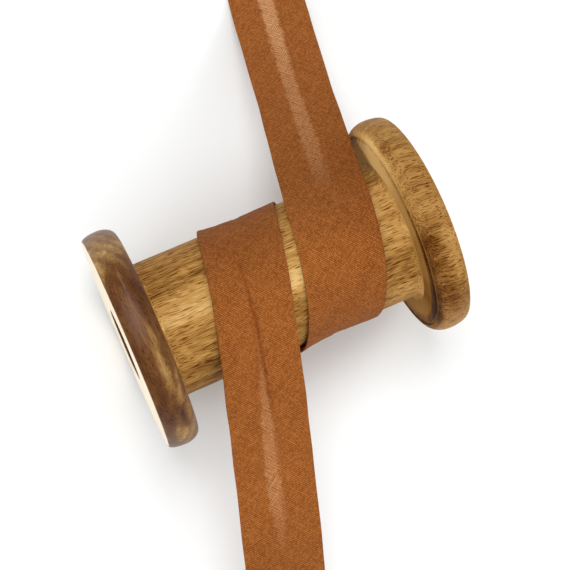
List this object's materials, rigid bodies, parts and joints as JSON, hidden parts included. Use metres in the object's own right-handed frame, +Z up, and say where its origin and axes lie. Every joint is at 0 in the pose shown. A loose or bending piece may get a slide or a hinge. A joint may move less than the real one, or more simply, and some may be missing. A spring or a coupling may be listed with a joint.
{
  "type": "roll of bias binding on a wooden spool",
  "caption": "Flat folded cotton bias binding wound round the barrel of a flanged wooden spool lying on its side, its ends running out to the surface.",
  "frame": {"origin": "on the surface the part rests on, under the middle of its bounding box", "axes": "+X along the spool from its left flange to its right one, +Y towards the tail of binding that reaches the surface sooner, +Z up"},
  "size_m": [0.12, 0.274, 0.0699],
  "materials": {
    "barrel_wood": "turned wood, golden brown, fine dark grain lines along the barrel, satin",
    "left_flange_wood": "turned wood, tan with large dark brown figure, polished",
    "right_flange_wood": "turned wood, tan to reddish brown figure, polished",
    "cotton_binding": "rust brown plain weave cotton cut on the bias, matt"
  },
  "bodies": {
    "root": {"spool_barrel": "barrel_wood", "spool_flange_left": "left_flange_wood", "spool_flange_right": "right_flange_wood", "bias_binding": "cotton_binding"}
  },
  "joints": []
}
